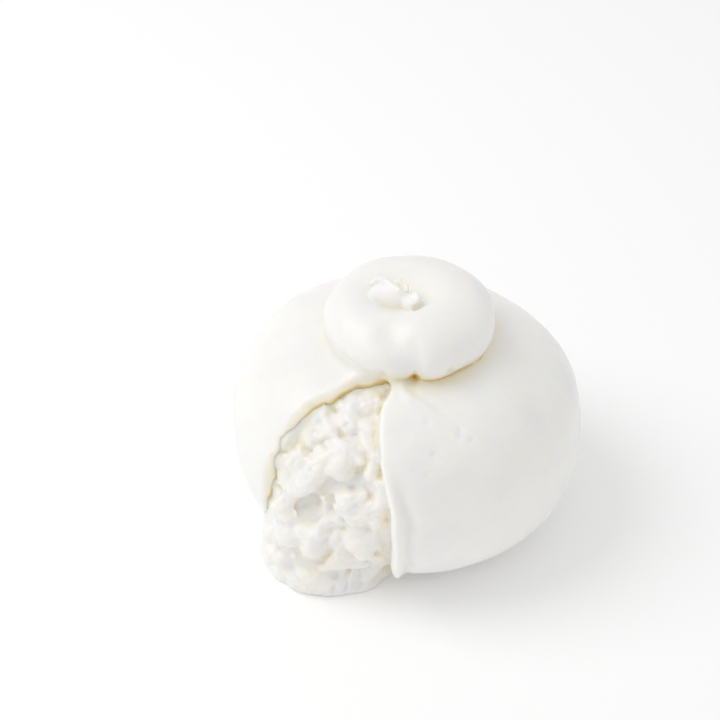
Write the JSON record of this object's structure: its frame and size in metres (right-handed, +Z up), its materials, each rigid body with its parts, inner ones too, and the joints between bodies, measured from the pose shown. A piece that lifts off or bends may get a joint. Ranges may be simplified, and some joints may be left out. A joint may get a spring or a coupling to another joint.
{
  "type": "burrata cheese",
  "caption": "Fresh burrata: a soft white pouch of stretched curd with a knotted head, cut open at the front so that its creamy curd filling slumps out.",
  "frame": {"origin": "on the floor, under the middle of the pouch, on the flat spot that it rests on", "axes": "+Z up through the knotted head, -Y to the front, where the cut opens, +X to the right as seen from the front"},
  "size_m": [0.0852, 0.0868, 0.0672],
  "materials": {
    "curd_skin": "moist satin, porcelain white, faintly translucent",
    "creamy_filling": "wet, ivory white curd in cream, translucent"
  },
  "bodies": {
    "root": {"pouch": "curd_skin", "filling": "creamy_filling"}
  },
  "joints": []
}
